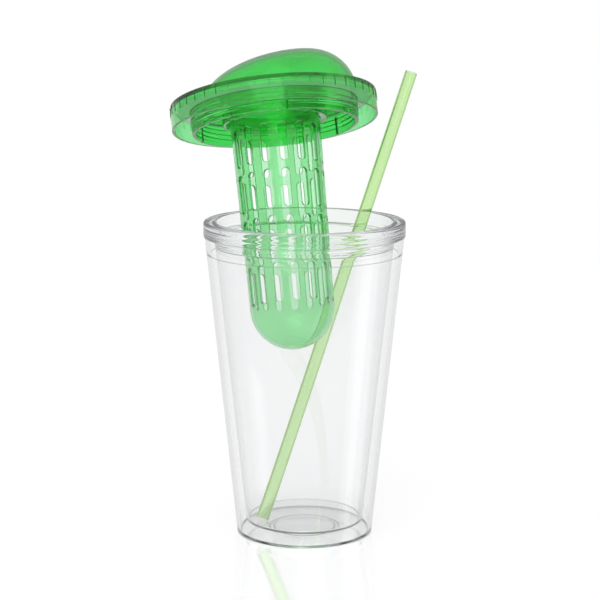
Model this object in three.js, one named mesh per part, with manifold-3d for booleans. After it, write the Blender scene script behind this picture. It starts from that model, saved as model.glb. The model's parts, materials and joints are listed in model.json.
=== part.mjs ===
// Infuser tumbler: a double-walled cup, a domed lid with a twist-lock infuser basket, and a straw.
// Millimetres, +Z up. The origin is the centre of the cup's underside, +X is right and +Y is the back.
import * as THREE from 'three';
import { mergeVertices } from 'three/addons/utils/BufferGeometryUtils.js';
import Module from 'manifold-3d';

const wasm = await Module();
wasm.setup();

// Clearances
const seatGap = 0.3; // between pieces that seat on each other
const threadClearance = 1.5; // from the neck's bore to the plug, where the threads mesh
const lidClearance = 0.5; // from the rim ring to the lid's skirt
const turnClearance = 0.4; // round the twist-lock
const strawClearance = 0.3; // round the straw in its grommet

// Cup
const cupHeight = 158;
const rimRadius = 50;
const rimHeight = 7.5;
const rimWidth = 6.5;
const rimRounding = 1.4;
const rimOverhang = 0.6; // how far the rim ring stands out past the outer wall
const baseRadius = 34.2;
const baseRounding = 1.2;
const outerWall = 1.8;
const outerFloor = 2.2;
const airGap = 2.9; // between the two walls
const floorGap = 2.6; // between the two floors
const linerWall = 1.7;
const linerFloor = 2;
const linerRounding = 2.4;
const bandDepth = 15.8; // from the rim's top to the seam below the band that hangs from the rim
const boreDepth = 12; // from the rim's top to the lower end of the threaded bore
const boreStep = 0.3; // how far the liner steps in below the bore
const neckFlare = 1.3; // how much wider the neck is under the rim than at the bore's lower end
const ringGrooveRadius = 16.5;
const ringGrooveWidth = 2.6;
const ringGrooveDepth = 1;

// Lid
const skirtHeight = 12.6;
const skirtWall = 1.5;
const skirtRounding = 1;
const plateThickness = 1.8;
const gripRibCount = 48;
const gripRibHeight = 4.8;
const gripRibWidth = 0.9;
const gripRibReach = 0.4;
const domeRadius = 39;
const domeHeight = 23;
const domeOffset = 3.8; // from the lid's axis to the centre of the dome's foot
const domeShift = 16.2; // how far the dome's peak stands off that centre
const domeWall = 2.4;
const gasketThickness = 2;
const gasketInset = 1.6; // from the rim's outer edge to the gasket's
const plugDepth = 2.5; // how far the plug hangs below the skirt
const plugWall = 1.8;
const plugPlate = 1.7;
const plugSlitCount = 3;
const plugSlitWidth = 1.2;
const plugSlitHeight = 9;
const plugSlitAzimuth = -80; // of the first slit

// Straw port in the lid
const portAzimuth = 60;
const portPocket = 0.6; // from the grommet's flange to the pocket round it
const grommetWall = 1.4;
const grommetFlange = 1.4;
const grommetLip = 2.2; // how far the flange reaches past the bore

// Infuser basket and its twist-lock
const infuserLength = 114; // from the skirt's lower edge down to the tip
const infuserTopRadius = 22.8;
const infuserEndRadius = 21;
const infuserWall = 1.6;
const slotColumns = 15;
const slotRows = 4;
const slotWidth = 3.9;
const slotLength = 19;
const slotPitch = 23;
const slotTop = 4; // from the skirt's lower edge down to the first slots
const slotAzimuth = -104.5; // of the first column
const collarWall = 1.6;
const collarHeight = 8;
const lugCount = 3;
const lugSpan = 36;
const lugReach = 1.6;
const lugThickness = 1.8;
const ledgeSpan = 50;
const ledgeThickness = 1.8;
const stopSpan = 4.5;

// Straw
const strawRadius = 3.15;
const strawWall = 0.5;
const strawLength = 238;
const strawFootAzimuth = 205;
const strawFootInset = 5; // from the liner's wall to the straw's axis at the floor
const strawRimAzimuth = 40;

// Where the lid is held above the cup: the centre of the skirt's lower edge, from the rim's centre
const lidSide = -14.7;
const lidBack = 25.7;
const lidRaise = 45.2;
const lidTiltBack = 17.95;
const lidTiltLeft = 5.6;

// Facets round each piece
const cupFacets = 48;
const lidFacets = gripRibCount;
const infuserFacets = 2 * slotColumns;
const smallFacets = 20;
const cornerFacets = 2;
const domeFacets = 8;
const endFacets = 6;
const slotFacets = 2;

// Materials
const tinted = { roughness: 0.1, metalness: 0, transparent: true };
const clear = new THREE.MeshStandardMaterial({ ...tinted, color: 0xe6eaf2, opacity: 0.35 });
const green = new THREE.MeshStandardMaterial({ ...tinted, color: 0x2fb457, opacity: 0.7 });
const paleGreen = new THREE.MeshStandardMaterial({ ...tinted, color: 0x7ccf8c, opacity: 0.6 });
const strawGreen = new THREE.MeshStandardMaterial({ ...tinted, color: 0xc3e6a2, opacity: 0.8 });
const silicone = new THREE.MeshStandardMaterial({ color: 0xeef1ec, roughness: 0.5, metalness: 0 });

// Helpers

const radians = THREE.MathUtils.degToRad;

// Point at a radius and an azimuth in degrees, counted from +X towards +Y
function polar(radius, azimuth, z = 0) {
  const angle = radians(azimuth);
  return new THREE.Vector3(radius * Math.cos(angle), radius * Math.sin(angle), z);
}

// Evenly spread azimuths, from the first one on
function spokes(count, first = 0) {
  return Array.from({ length: count }, (_, i) => first + (360 * i) / count);
}

// Radius on the straight line between two [radius, z] points
function radiusAt(z, low, high) {
  return low[0] + ((high[0] - low[0]) * (z - low[1])) / (high[1] - low[1]);
}

// Profile through corners [radius, z, rounding], with the rounded ones turned into curves
function profile(corners) {
  const path = new THREE.Path();
  corners.forEach(([x, z, rounding = 0], i) => {
    const corner = new THREE.Vector2(x, z);
    if (i === 0) {
      path.moveTo(x, z);
      return;
    }
    if (rounding === 0) {
      path.lineTo(x, z);
      return;
    }
    const before = new THREE.Vector2(...corners[i - 1]);
    const after = new THREE.Vector2(...corners[i + 1]);
    const reach = Math.min(rounding, corner.distanceTo(before) / 2, corner.distanceTo(after) / 2);
    const entry = before.sub(corner).setLength(reach).add(corner);
    const exit = after.sub(corner).setLength(reach).add(corner);
    path.lineTo(entry.x, entry.y);
    path.quadraticCurveTo(x, z, exit.x, exit.y);
  });
  return path.getPoints(cornerFacets);
}

// Body of revolution about Z from profile points that run outwards at the bottom and inwards at the top
function revolve(points, facets) {
  return new THREE.LatheGeometry(points, facets).rotateX(Math.PI / 2);
}

// Plate of a given outline in XY, standing from one height to another
function upright(shape, z0, z1) {
  const options = { depth: z1 - z0, bevelEnabled: false, curveSegments: slotFacets };
  return new THREE.ExtrudeGeometry(shape, options).translate(0, 0, z0);
}

// Block that follows a ring between two radii, two azimuths and two heights
function ringBlock(inner, outer, azimuth0, azimuth1, z0, z1) {
  const shape = new THREE.Shape();
  shape.absarc(0, 0, outer, radians(azimuth0), radians(azimuth1), false);
  shape.absarc(0, 0, inner, radians(azimuth1), radians(azimuth0), true);
  shape.closePath();
  return upright(shape, z0, z1);
}

// Solid cylinder along Z at a point
function post(centre, radius, z0, z1) {
  const geometry = new THREE.CylinderGeometry(radius, radius, z1 - z0, smallFacets);
  return geometry.rotateX(Math.PI / 2).translate(centre.x, centre.y, (z0 + z1) / 2);
}

function solid(geometry) {
  const bare = geometry.clone();
  bare.deleteAttribute('normal');
  bare.deleteAttribute('uv');
  const merged = mergeVertices(bare);
  const corners = [];
  const index = merged.index.array;
  for (let i = 0; i < index.length; i += 3) {
    const [a, b, c] = index.slice(i, i + 3);
    if (a !== b && b !== c && c !== a) corners.push(a, b, c);
  }
  return new wasm.Manifold(new wasm.Mesh({
    numProp: 3,
    vertProperties: new Float32Array(merged.attributes.position.array),
    triVerts: new Uint32Array(corners),
  }));
}

function geometryOf(body) {
  const mesh = body.getMesh();
  const geometry = new THREE.BufferGeometry();
  geometry.setAttribute('position', new THREE.BufferAttribute(mesh.vertProperties, 3));
  geometry.setIndex(new THREE.BufferAttribute(mesh.triVerts, 1));
  geometry.computeVertexNormals();
  return geometry;
}

function join(body, geometries) {
  return geometries.reduce((whole, geometry) => whole.add(solid(geometry)), body);
}

function cut(body, geometries) {
  return geometries.reduce((whole, geometry) => whole.subtract(solid(geometry)), body);
}

function piece(name, geometry, material) {
  const mesh = new THREE.Mesh(geometry, material);
  mesh.name = name;
  return mesh;
}

// Cup: shared lines of the two walls

const mouthRadius = rimRadius - rimWidth;
const rimBottom = cupHeight - rimHeight;
const bandBottom = cupHeight - bandDepth;
const outerTop = bandBottom - seatGap;
const outerFoot = [baseRadius, 0];
const outerHead = [rimRadius - rimOverhang, rimBottom];
const outerRadius = (z) => radiusAt(z, outerFoot, outerHead);
const linerBottom = outerFloor + floorGap;
const floorTop = linerBottom + linerFloor;
const boreBottom = cupHeight - boreDepth;
const linerFoot = [baseRadius - outerWall - airGap - linerWall, linerBottom];
const linerHead = [mouthRadius - boreStep, boreBottom - boreStep];
const linerRadius = (z) => radiusAt(z, linerFoot, linerHead);

function outerCup() {
  const grooveInner = ringGrooveRadius - ringGrooveWidth / 2;
  const grooveOuter = ringGrooveRadius + ringGrooveWidth / 2;
  const corners = [
    [0, 0],
    [grooveInner, 0],
    [grooveInner + ringGrooveDepth / 2, ringGrooveDepth],
    [grooveOuter - ringGrooveDepth / 2, ringGrooveDepth],
    [grooveOuter, 0],
    [...outerFoot, baseRounding],
    [outerRadius(outerTop), outerTop],
    [outerRadius(outerTop) - outerWall, outerTop],
    [outerRadius(outerFloor) - outerWall, outerFloor, baseRounding],
    [0, outerFloor],
  ];
  return revolve(profile(corners), cupFacets);
}

function innerCup() {
  const linerOuter = (z) => linerRadius(z) + linerWall;
  const corners = [
    [0, linerBottom],
    [linerOuter(linerBottom), linerBottom, linerRounding / 2],
    [linerOuter(boreBottom), boreBottom],
    [linerOuter(boreBottom) + neckFlare, rimBottom],
    [outerRadius(rimBottom) - outerWall, rimBottom],
    [outerRadius(bandBottom) - outerWall, bandBottom],
    [outerRadius(bandBottom), bandBottom],
    outerHead,
    [rimRadius, rimBottom, rimRounding / 2],
    [rimRadius, cupHeight, rimRounding],
    [mouthRadius, cupHeight, rimRounding],
    [mouthRadius, boreBottom],
    linerHead,
    [linerRadius(floorTop), floorTop, linerRounding],
    [0, floorTop],
  ];
  return revolve(profile(corners), cupFacets);
}

// Lid: heights are counted from the skirt's lower edge, on the lid's own axis

const skirtInner = rimRadius + lidClearance;
const skirtOuter = skirtInner + skirtWall;
const plateBottom = skirtHeight - plateThickness;
const plugRadius = mouthRadius - threadClearance;
const plugInner = plugRadius - plugWall;
const socketTop = plateBottom - seatGap - plugPlate;
const lugRadius = infuserTopRadius + lugReach;
const collarInner = lugRadius + turnClearance;
const collarOuter = collarInner + collarWall;
const ledgeInner = infuserTopRadius + turnClearance;
const ledgeBottom = socketTop - collarHeight;
const ledgeTop = ledgeBottom + ledgeThickness;
const port = polar((collarOuter + plugInner) / 2, portAzimuth);
const grommetHole = strawRadius + strawClearance;
const portBore = grommetHole + grommetWall + seatGap;
const flangeRadius = portBore + grommetLip;
const pocketRadius = flangeRadius + portPocket;
const domePeak = new THREE.Vector3(domeOffset + domeShift, 0, 0);

// Height of the dome over a point of the lid's plan. The dome's rings shrink from its foot towards its
// peak, so the line from the peak through the point meets the foot's circle, and gives the ring's share.
function domeTop(point) {
  const away = point.clone().sub(domePeak);
  const shift = new THREE.Vector3(domeShift, 0, 0);
  const a = away.lengthSq();
  const b = away.dot(shift);
  const c = domeShift * domeShift - domeRadius * domeRadius;
  const share = a / (Math.sqrt(b * b - a * c) - b);
  return skirtHeight + domeHeight * Math.sqrt(1 - Math.min(share, 1) ** 2);
}

const landTop = domeTop(port);
const pocketTop = skirtHeight + domeHeight;

// Half-ellipsoid whose rings slide towards +X as they rise, standing on a foot that reaches down to z0
function dome(radius, height, z0) {
  const outline = new THREE.Path();
  outline.moveTo(0, z0);
  outline.lineTo(radius, z0);
  outline.absellipse(0, skirtHeight, radius, height, 0, Math.PI / 2, false);
  const points = outline.getPoints(domeFacets / 2);
  points.at(-1).x = 0;
  const geometry = revolve(points, lidFacets);
  const position = geometry.attributes.position;
  for (let i = 0; i < position.count; i += 1) {
    const rise = THREE.MathUtils.clamp((position.getZ(i) - skirtHeight) / height, 0, 1);
    const shrink = 1 - Math.sqrt(1 - rise * rise);
    position.setX(i, position.getX(i) + domeOffset + domeShift * shrink);
  }
  return geometry;
}

function lidCover() {
  const skirt = revolve(profile([
    [0, plateBottom],
    [skirtInner, plateBottom, skirtRounding],
    [skirtInner, 0],
    [skirtOuter, 0, skirtRounding / 2],
    [skirtOuter, skirtHeight, skirtRounding],
    [0, skirtHeight],
  ]), lidFacets);
  const rib = new THREE.BoxGeometry(2 * gripRibReach, gripRibWidth, gripRibHeight);
  rib.translate(skirtOuter, 0, skirtHeight - skirtRounding - gripRibHeight / 2);
  const ribs = spokes(gripRibCount).map((azimuth) => rib.clone().rotateZ(radians(azimuth)));
  const root = plateBottom + plateThickness / 2;
  const shell = dome(domeRadius, domeHeight, root);
  const column = post(port, pocketRadius + domeWall, plateBottom, landTop);
  const mantle = post(port, pocketRadius + domeWall, plateBottom - plateThickness, pocketTop);
  const hollow = dome(domeRadius - domeWall, domeHeight - domeWall, plateBottom - plateThickness / 2);
  const pocket = post(port, pocketRadius, landTop, pocketTop);
  const bore = post(port, portBore, plateBottom - plateThickness, pocketTop);
  const shut = join(solid(skirt), [shell, column, ...ribs]);
  const open = shut.subtract(cut(solid(hollow), [mantle]));
  return geometryOf(cut(open, [pocket, bore]));
}

function lidPlug() {
  const top = plateBottom - seatGap;
  const body = revolve(profile([
    [0, socketTop],
    [collarInner, socketTop],
    [collarInner, ledgeBottom],
    [collarOuter, ledgeBottom],
    [collarOuter, socketTop],
    [plugInner, socketTop],
    [plugInner, -plugDepth],
    [plugRadius, -plugDepth, plugWall / 2],
    [plugRadius, top],
    [0, top],
  ]), lidFacets);
  const embed = collarWall / 2;
  const ledges = spokes(lugCount).flatMap((azimuth) => {
    const start = azimuth - ledgeSpan / 2;
    const ledge = ringBlock(ledgeInner, collarInner + embed, start, start + ledgeSpan, ledgeBottom, ledgeTop);
    const stopTop = ledgeTop + seatGap + lugThickness;
    const stop = ringBlock(ledgeInner, collarInner + embed, start, start + stopSpan, ledgeBottom, stopTop);
    return [ledge, stop];
  });
  const slit = new THREE.BoxGeometry(4 * plugWall, plugSlitWidth, 2 * plugSlitHeight);
  slit.translate(plugRadius, 0, -plugDepth);
  const slits = spokes(plugSlitCount, plugSlitAzimuth).map((azimuth) => slit.clone().rotateZ(radians(azimuth)));
  const passage = post(port, portBore, socketTop - plugPlate, top + plugPlate);
  return geometryOf(cut(join(solid(body), ledges), [...slits, passage]));
}

function lidGasket() {
  const top = plateBottom - seatGap;
  const inner = plugRadius + seatGap;
  const outer = rimRadius - gasketInset;
  return revolve(profile([
    [inner, top],
    [inner, top - gasketThickness],
    [outer, top - gasketThickness, gasketThickness / 2],
    [outer, top],
    [inner, top],
  ]), lidFacets);
}

function strawGrommet() {
  const sleeve = grommetHole + grommetWall;
  const flangeBottom = landTop + seatGap;
  const ring = revolve(profile([
    [grommetHole, skirtHeight],
    [sleeve, skirtHeight],
    [sleeve, flangeBottom],
    [flangeRadius, flangeBottom],
    [flangeRadius, flangeBottom + grommetFlange, grommetFlange / 2],
    [grommetHole, flangeBottom + grommetFlange],
    [grommetHole, skirtHeight],
  ]), smallFacets);
  return ring.translate(port.x, port.y, 0);
}

// Rounded slot that reaches outwards along +X, its middle at height 0
function slotCutter() {
  const half = slotWidth / 2;
  const straight = slotLength / 2 - half;
  const shape = new THREE.Shape();
  shape.absarc(0, straight, half, 0, Math.PI, false);
  shape.absarc(0, -straight, half, Math.PI, 2 * Math.PI, false);
  shape.closePath();
  const bar = upright(shape, 0, infuserTopRadius * 2);
  const across = new THREE.Vector3(0, 1, 0);
  const up = new THREE.Vector3(0, 0, 1);
  const outwards = new THREE.Vector3(1, 0, 0);
  return bar.applyMatrix4(new THREE.Matrix4().makeBasis(across, up, outwards));
}

function infuserBasket() {
  const top = socketTop - seatGap;
  const endCentre = infuserEndRadius - infuserLength;
  const innerEnd = infuserEndRadius - infuserWall;
  const outline = new THREE.Path();
  outline.absarc(0, endCentre, infuserEndRadius, -Math.PI / 2, 0, false);
  outline.lineTo(infuserTopRadius, top);
  outline.lineTo(infuserTopRadius - infuserWall, top);
  outline.absarc(0, endCentre, innerEnd, 0, -Math.PI / 2, true);
  const points = outline.getPoints(endFacets / 2);
  points[0].x = 0;
  points.at(-1).x = 0;
  const tube = revolve(points, infuserFacets);
  tube.rotateZ(radians(slotAzimuth + 90 - 180 / infuserFacets));
  const lugBottom = ledgeTop + seatGap;
  const lugInner = infuserTopRadius - infuserWall / 2;
  const lugs = spokes(lugCount).map((azimuth) => {
    const start = azimuth - lugSpan / 2;
    return ringBlock(lugInner, lugRadius, start, start + lugSpan, lugBottom, lugBottom + lugThickness);
  });
  const slot = slotCutter();
  const slots = spokes(slotColumns, slotAzimuth).flatMap((azimuth) => {
    const column = slot.clone().rotateZ(radians(azimuth));
    return Array.from({ length: slotRows }, (_, row) => {
      return column.clone().translate(0, 0, -slotTop - slotLength / 2 - row * slotPitch);
    });
  });
  return geometryOf(cut(join(solid(tube), lugs), slots));
}

function strawTube() {
  return revolve(profile([
    [strawRadius - strawWall, 0],
    [strawRadius, 0],
    [strawRadius, strawLength],
    [strawRadius - strawWall, strawLength],
    [strawRadius - strawWall, 0],
  ]), smallFacets);
}

// Lean the straw from its foot on the liner's floor against the mouth's inner edge
function placeStraw(straw) {
  const footSpot = polar(linerRadius(floorTop) - strawFootInset, strawFootAzimuth, floorTop);
  const rimSpot = polar(mouthRadius - strawRadius, strawRimAzimuth, cupHeight);
  const upwards = new THREE.Vector3(0, 0, 1);
  const lean = rimSpot.clone().sub(footSpot).normalize();
  const steepness = lean.dot(upwards);
  const slack = (strawRadius + seatGap) / steepness - strawRadius;
  rimSpot.sub(polar(slack, strawRimAzimuth));
  footSpot.z += seatGap + strawRadius * Math.sqrt(1 - steepness * steepness);
  lean.copy(rimSpot).sub(footSpot).normalize();
  straw.position.copy(footSpot);
  straw.quaternion.setFromUnitVectors(upwards, lean);
}

// Assembly

const cup = new THREE.Group();
cup.add(piece('outer_cup', outerCup(), clear));
cup.add(piece('inner_cup', innerCup(), clear));

const lid = new THREE.Group();
lid.add(piece('lid_cover', lidCover(), green));
lid.add(piece('lid_plug', lidPlug(), green));
lid.add(piece('lid_gasket', lidGasket(), silicone));
lid.add(piece('straw_grommet', strawGrommet(), silicone));
lid.add(piece('infuser_basket', infuserBasket(), paleGreen));
lid.position.set(lidSide, lidBack, cupHeight + lidRaise);
lid.rotation.set(-radians(lidTiltBack), -radians(lidTiltLeft), 0, 'YXZ');

const straw = piece('straw', strawTube(), strawGreen);
placeStraw(straw);

const tumbler = new THREE.Group();
tumbler.add(cup, lid, straw);

export default tumbler;
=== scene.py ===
import json
import math
import bpy
import bmesh
from mathutils import Matrix, Vector


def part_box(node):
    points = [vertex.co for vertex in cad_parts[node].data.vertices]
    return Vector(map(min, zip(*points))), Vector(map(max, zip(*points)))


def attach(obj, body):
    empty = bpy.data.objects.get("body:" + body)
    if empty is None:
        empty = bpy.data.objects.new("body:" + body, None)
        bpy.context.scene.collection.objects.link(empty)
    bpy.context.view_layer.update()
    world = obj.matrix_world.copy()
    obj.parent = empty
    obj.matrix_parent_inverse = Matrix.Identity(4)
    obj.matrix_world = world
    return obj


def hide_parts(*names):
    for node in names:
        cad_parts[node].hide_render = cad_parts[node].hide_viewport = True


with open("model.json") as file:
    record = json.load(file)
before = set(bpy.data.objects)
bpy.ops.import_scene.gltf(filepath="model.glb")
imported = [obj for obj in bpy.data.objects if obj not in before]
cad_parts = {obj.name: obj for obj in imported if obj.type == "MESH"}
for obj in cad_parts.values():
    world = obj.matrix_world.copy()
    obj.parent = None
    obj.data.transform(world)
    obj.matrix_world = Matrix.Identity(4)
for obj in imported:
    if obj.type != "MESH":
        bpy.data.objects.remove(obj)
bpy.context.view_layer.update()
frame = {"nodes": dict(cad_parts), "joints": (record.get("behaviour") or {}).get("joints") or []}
scene = bpy.context.scene
millimetre = 0.001
print("frame loaded:", ", ".join(sorted(frame["nodes"])))


# places that come from the frame

def jointNamed(name):
    return next(joint for joint in frame["joints"] if joint["name"] == name)


def placeOfLid():
    # the lid's own axes: Z along its screw axis, X level with the table
    turn = jointNamed("lid_turn")
    zAxis = Vector(turn["axis"]).normalized()
    xAxis = Vector((0, 1, 0)).cross(zAxis).normalized()
    yAxis = zAxis.cross(xAxis)
    place = Matrix((xAxis, yAxis, zAxis)).transposed().to_4x4()
    place.translation = Vector(turn["pos_m"])
    return place @ Matrix.Scale(millimetre, 4)


def placeOfStraw(length):
    # along the straw's own slide, centred in its box
    axis = Vector(jointNamed("straw_slide")["axis"]).normalized()
    low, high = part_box("straw")
    place = Vector((0, 0, 1)).rotation_difference(axis).to_matrix().to_4x4()
    place.translation = (low + high) / 2 - axis * length * millimetre / 2
    return place @ Matrix.Scale(millimetre, 4)


cupPlace = Matrix.Scale(millimetre, 4)
lidPlace = placeOfLid()


# small tools for outlines and turned bodies, in millimetres

def rounded(corners, steps=5):
    # corners are (radius, height) or (radius, height, rounding)
    path = []
    for i, corner in enumerate(corners):
        here = Vector(corner[:2])
        rounding = corner[2] if len(corner) > 2 else 0
        if rounding == 0:
            path.append(here)
            continue
        before = Vector(corners[i - 1][:2]) - here
        after = Vector(corners[(i + 1) % len(corners)][:2]) - here
        reach = min(rounding, before.length / 2, after.length / 2)
        start = here + before.normalized() * reach
        end = here + after.normalized() * reach
        for k in range(steps + 1):
            t = k / steps
            path.append(start * (1 - t) ** 2 + here * 2 * t * (1 - t) + end * t * t)
    return path


def supported(path, inset=0.12, shortest=0.72, longest=8.0):
    # extra rows beside each corner and along the long stretches keep the flat faces flat to the light
    rows = [path[0]]
    for a, b in zip(path, path[1:]):
        length = (b - a).length
        if length > shortest:
            count = math.ceil(length / longest)
            rows.append(a.lerp(b, inset / length))
            rows += [a.lerp(b, k / count) for k in range(1, count)]
            rows.append(a.lerp(b, 1 - inset / length))
        rows.append(b)
    return rows


def evenAngles(count, first=0.0):
    return [math.radians(first) + 2 * math.pi * k / count for k in range(count)]


def turnedMesh(name, outline, angles, ring=False, centres=None, onAxis=1e-6):
    # outline rows run outwards at the bottom and inwards at the top, and centres shifts each row along X
    points, rows = [], []
    for i, row in enumerate(outline):
        shift = centres[i] if centres else 0
        if row[0] < onAxis:
            rows.append([len(points)] * len(angles))
            points.append((shift, 0, row[1]))
            continue
        rows.append(list(range(len(points), len(points) + len(angles))))
        points += [(shift + row[0] * math.cos(a), row[0] * math.sin(a), row[1]) for a in angles]
    faces = []
    pairs = list(zip(rows, rows[1:])) + ([(rows[-1], rows[0])] if ring else [])
    for low, high in pairs:
        for j in range(len(angles)):
            k = (j + 1) % len(angles)
            corners = [low[j], low[k], high[k], high[j]]
            faces.append(list(dict.fromkeys(corners)))
    mesh = bpy.data.meshes.new(name)
    mesh.from_pydata(points, [], [f for f in faces if len(f) > 2])
    return mesh


def ringBlock(name, inner, outer, start, end, low, high, steps=16):
    # block that follows a ring between two azimuths in degrees
    points = []
    for k in range(steps + 1):
        a = math.radians(start + (end - start) * k / steps)
        for r, z in ((inner, low), (outer, low), (outer, high), (inner, high)):
            points.append((r * math.cos(a), r * math.sin(a), z))
    faces = [(0, 3, 2, 1), tuple(4 * steps + i for i in range(4))]
    for k in range(steps):
        for i in range(4):
            j = (i + 1) % 4
            faces.append((4 * k + i, 4 * k + j, 4 * k + 4 + j, 4 * k + 4 + i))
    mesh = bpy.data.meshes.new(name)
    mesh.from_pydata(points, [], faces)
    return facedOut(mesh)


def postMesh(name, x, y, radius, low, high, count=72):
    mesh = turnedMesh(name, [(0, low), (radius, low), (radius, high), (0, high)], evenAngles(count))
    mesh.transform(Matrix.Translation((x, y, 0)))
    return mesh


def facedOut(mesh, merge=0.0):
    # faces turned outwards, and with a merge distance also close points joined and slivers filled
    work = bmesh.new()
    work.from_mesh(mesh)
    if merge:
        bmesh.ops.remove_doubles(work, verts=work.verts, dist=merge)
        bmesh.ops.holes_fill(work, edges=[edge for edge in work.edges if edge.is_boundary])
    bmesh.ops.recalc_face_normals(work, faces=work.faces)
    work.to_mesh(mesh)
    work.free()
    return mesh


def placedObject(name, mesh):
    obj = bpy.data.objects.new(name, mesh)
    scene.collection.objects.link(obj)
    return obj


def plainMesh(obj):
    # the evaluated shape as a plain mesh, with the modifiers gone
    bpy.context.view_layer.update()
    graph = bpy.context.evaluated_depsgraph_get()
    mesh = bpy.data.meshes.new_from_object(obj.evaluated_get(graph))
    obj.modifiers.clear()
    obj.data = mesh


def combined(obj, meshes, operation):
    # add or cut the meshes one after the other
    for mesh in meshes:
        helper = placedObject("helper", mesh)
        step = obj.modifiers.new(operation.lower(), "BOOLEAN")
        step.operation = operation
        step.solver = "EXACT"
        step.object = helper
        plainMesh(obj)
        bpy.data.objects.remove(helper)


def finished(obj, material, place, body, node, sharp=32):
    # set the piece in its place, smooth its curves, hang it on its body's empty and hide the imported part it stands
    # for
    obj.data.materials.clear()
    obj.data.materials.append(material)
    obj.data.polygons.foreach_set("material_index", [0] * len(obj.data.polygons))
    obj.data.transform(place)
    obj.data.polygons.foreach_set("use_smooth", [True] * len(obj.data.polygons))
    obj.data.set_sharp_from_angle(angle=math.radians(sharp))
    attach(obj, body)
    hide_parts(node)
    print("piece:", obj.name, len(obj.data.polygons), "faces")


# node helpers

def joined(tree, socket, value):
    if isinstance(value, bpy.types.NodeSocket):
        tree.links.new(value, socket)
    elif value is not None:
        socket.default_value = value


def mathOf(tree, operation, *values):
    node = tree.nodes.new("ShaderNodeMath")
    node.operation = operation
    for socket, value in zip(node.inputs, values):
        joined(tree, socket, value)
    return node.outputs[0]


def stepOf(tree, value, low, high, start=0.0, end=1.0):
    # smooth step from start at low to end at high
    node = tree.nodes.new("ShaderNodeMapRange")
    node.interpolation_type = "SMOOTHSTEP"
    for name, part in (("Value", value), ("From Min", low), ("From Max", high),
                       ("To Min", start), ("To Max", end)):
        joined(tree, node.inputs[name], part)
    return node.outputs["Result"]


def vectorOf(tree, x, y, z):
    node = tree.nodes.new("ShaderNodeCombineXYZ")
    for socket, value in zip(node.inputs, (x, y, z)):
        joined(tree, socket, value)
    return node.outputs[0]


def shapeTree(name, inputs):
    tree = bpy.data.node_groups.new(name, "GeometryNodeTree")
    tree.interface.new_socket(name="Geometry", in_out="INPUT", socket_type="NodeSocketGeometry")
    for label in inputs:
        tree.interface.new_socket(name=label, in_out="INPUT", socket_type="NodeSocketFloat")
    tree.interface.new_socket(name="Material", in_out="INPUT", socket_type="NodeSocketMaterial")
    tree.interface.new_socket(name="Geometry", in_out="OUTPUT", socket_type="NodeSocketGeometry")
    return tree, tree.nodes.new("NodeGroupInput")


def closeTree(tree, given, geometry):
    realize = tree.nodes.new("GeometryNodeRealizeInstances")
    paint = tree.nodes.new("GeometryNodeSetMaterial")
    out = tree.nodes.new("NodeGroupOutput")
    tree.links.new(geometry, realize.inputs[0])
    tree.links.new(realize.outputs[0], paint.inputs["Geometry"])
    tree.links.new(given.outputs["Material"], paint.inputs["Material"])
    tree.links.new(paint.outputs[0], out.inputs[0])


def shaped(obj, tree, sizes, material):
    step = obj.modifiers.new(tree.name, "NODES")
    step.node_group = tree
    for item in tree.interface.items_tree:
        if item.in_out == "INPUT" and item.name in sizes:
            step[item.identifier] = float(sizes[item.name])
        if item.in_out == "INPUT" and item.name == "Material":
            step[item.identifier] = material
    plainMesh(obj)


def positionParts(tree):
    place = tree.nodes.new("GeometryNodeInputPosition")
    parts = tree.nodes.new("ShaderNodeSeparateXYZ")
    tree.links.new(place.outputs[0], parts.inputs[0])
    return tuple(parts.outputs)


def polarParts(tree):
    x, y, z = positionParts(tree)
    azimuth = mathOf(tree, "ARCTAN2", y, x)
    xSquare, ySquare = mathOf(tree, "MULTIPLY", x, x), mathOf(tree, "MULTIPLY", y, y)
    radius = mathOf(tree, "SQRT", mathOf(tree, "ADD", xSquare, ySquare))
    return x, y, z, azimuth, radius


def raisedWall(tree, given, x, y, radius, lift, catch=0.02, least=0.001):
    # move only what lies on the wall, straight outwards by lift
    off = mathOf(tree, "ABSOLUTE", mathOf(tree, "SUBTRACT", radius, given.outputs["Wall Radius"]))
    onWall = mathOf(tree, "LESS_THAN", off, catch)
    lifted = mathOf(tree, "MULTIPLY", lift, onWall)
    share = mathOf(tree, "DIVIDE", lifted, mathOf(tree, "MAXIMUM", radius, least))
    move = tree.nodes.new("GeometryNodeSetPosition")
    tree.links.new(given.outputs["Geometry"], move.inputs["Geometry"])
    offset = vectorOf(tree, mathOf(tree, "MULTIPLY", x, share), mathOf(tree, "MULTIPLY", y, share), 0.0)
    tree.links.new(offset, move.inputs["Offset"])
    return move.outputs[0]


def endedRidge(tree, given, ridge, z, lead, reach):
    # the ridge's lift, rising over the lead at the lower end and falling over it at the upper end
    low, high = given.outputs["Lower End"], given.outputs["Upper End"]
    startIn = stepOf(tree, z, low, mathOf(tree, "ADD", low, lead))
    runOut = stepOf(tree, z, high, mathOf(tree, "SUBTRACT", high, lead))
    begun = mathOf(tree, "MULTIPLY", ridge, startIn)
    return mathOf(tree, "MULTIPLY", begun, mathOf(tree, "MULTIPLY", runOut, reach))


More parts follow.
